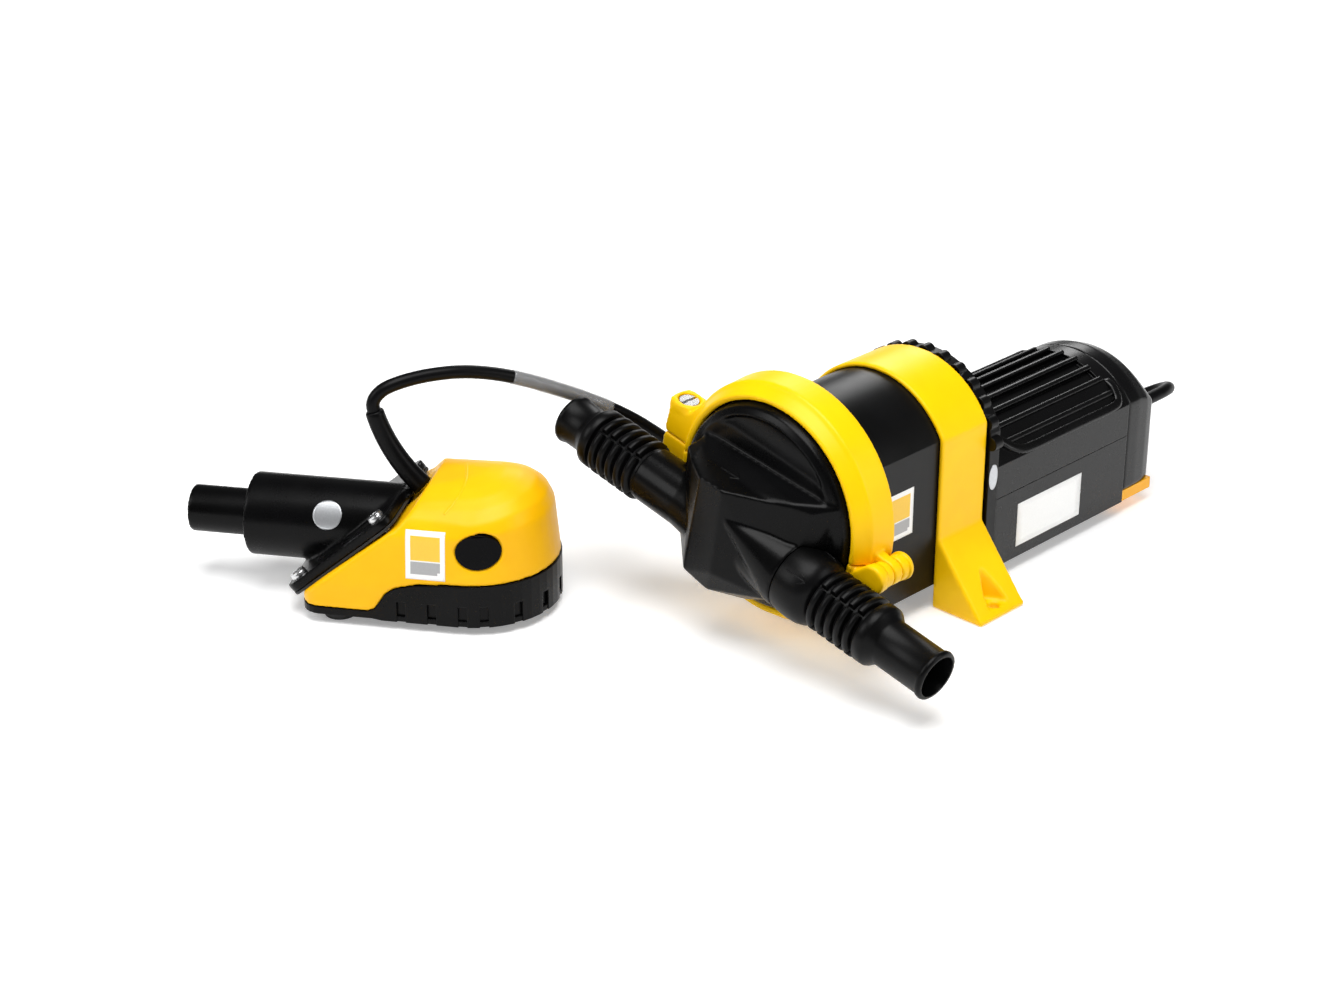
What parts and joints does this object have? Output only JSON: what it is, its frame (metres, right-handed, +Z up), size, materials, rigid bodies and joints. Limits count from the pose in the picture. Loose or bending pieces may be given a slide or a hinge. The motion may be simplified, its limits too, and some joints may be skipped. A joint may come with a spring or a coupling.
{
  "type": "diaphragm bilge pump with remote strainer",
  "caption": "Black and yellow diaphragm bilge pump with ribbed hose tails, foot bracket and ribbed motor cover, wired by a thin lead to a yellow floor strainer with a sensor.",
  "frame": {"origin": "on the floor, midway between the two bolt holes of the mounting bracket", "axes": "+Z up from the floor, +Y along the pump from the head towards the motor, +X towards the outlet side"},
  "size_m": [0.3057, 0.388, 0.105],
  "materials": {
    "black_plastic": "satin moulded",
    "yellow_plastic": "semi-gloss moulded",
    "rubber_black": "matt",
    "steel": "machined",
    "brass_gear": "machined",
    "nylon": "matt",
    "circuit_board": "satin",
    "black_window": "gloss",
    "lead_jacket": "satin"
  },
  "bodies": {
    "frame": {"pump_head": "black_plastic", "inlet_tail": "black_plastic", "outlet_tail": "black_plastic", "diaphragm_rim": "rubber_black", "clamp_lower": "yellow_plastic", "clamp_hinge_pin": "steel", "clamp_nut": "steel", "pump_body": "black_plastic", "mounting_bracket": "yellow_plastic", "gearbox_cover": "black_plastic", "motor_can": "steel", "front_bearing": "steel", "rear_bearing": "steel", "motor_housing": "black_plastic", "lower_cover": "black_plastic", "end_cap": "black_plastic", "rear_foot": "yellow_plastic", "control_board": "circuit_board", "cable_gland": "rubber_black", "strainer_cap": "yellow_plastic", "strainer_base": "black_plastic", "strainer_pads": "rubber_black", "valve_housing": "black_plastic", "flange_gasket": "rubber_black", "flange_screws": "steel", "sensor_board": "circuit_board", "sensor_window": "black_window", "cable_boot": "rubber_black", "sensor_lead": "lead_jacket", "lead_coil": "lead_jacket", "pump_lead": "lead_jacket"},
    "clamp_half": {"clamp_upper": "yellow_plastic", "clamp_screw": "steel"},
    "rotor": {"armature": "steel", "worm": "brass_gear"},
    "crank": {"worm_wheel": "nylon", "wheel_shaft": "steel"},
    "membrane": {"diaphragm": "rubber_black", "front_plate": "black_plastic", "back_plate": "black_plastic", "drive_yoke": "steel"},
    "inlet_valve": {"inlet_flap": "rubber_black"},
    "outlet_valve": {"outlet_flap": "rubber_black"},
    "strainer_valve": {"check_flap": "rubber_black"}
  },
  "joints": [
    {"name": "clamp_open", "type": "hinge", "parent": "frame", "child": "clamp_half", "pos_m": [0.05422, -0.068, 0.04268], "axis": [0, 1, 0], "range_deg": [0, 70]},
    {"name": "rotor_spin", "type": "hinge", "parent": "frame", "child": "rotor", "pos_m": [0.005, 0, 0.035], "axis": [0, 1, 0], "continuous": true},
    {"name": "crank_spin", "type": "hinge", "parent": "frame", "child": "crank", "pos_m": [0.005, -0.019, 0.055], "axis": [1, 0, 0], "continuous": true},
    {"name": "membrane_stroke", "type": "slide", "parent": "frame", "child": "membrane", "axis": [0, 1, 0], "range_m": [-0.0045, 0.0045]},
    {"name": "inlet_flap_swing", "type": "hinge", "parent": "frame", "child": "inlet_valve", "pos_m": [-0.00798, -0.0883, 0.0562], "axis": [0, -1, 0], "range_deg": [0, 25]},
    {"name": "outlet_flap_swing", "type": "hinge", "parent": "frame", "child": "outlet_valve", "pos_m": [0.01103, -0.0883, 0.05188], "axis": [0, -1, 0], "range_deg": [0, 25]},
    {"name": "strainer_flap_swing", "type": "hinge", "parent": "frame", "child": "strainer_valve", "pos_m": [-0.16277, -0.17568, 0.0404], "axis": [-0.5577, 0.83, 0], "range_deg": [0, 25]}
  ],
  "couplings": [
    {"joint": "crank_spin", "follows": "rotor_spin", "ratio": 0.033333}
  ]
}
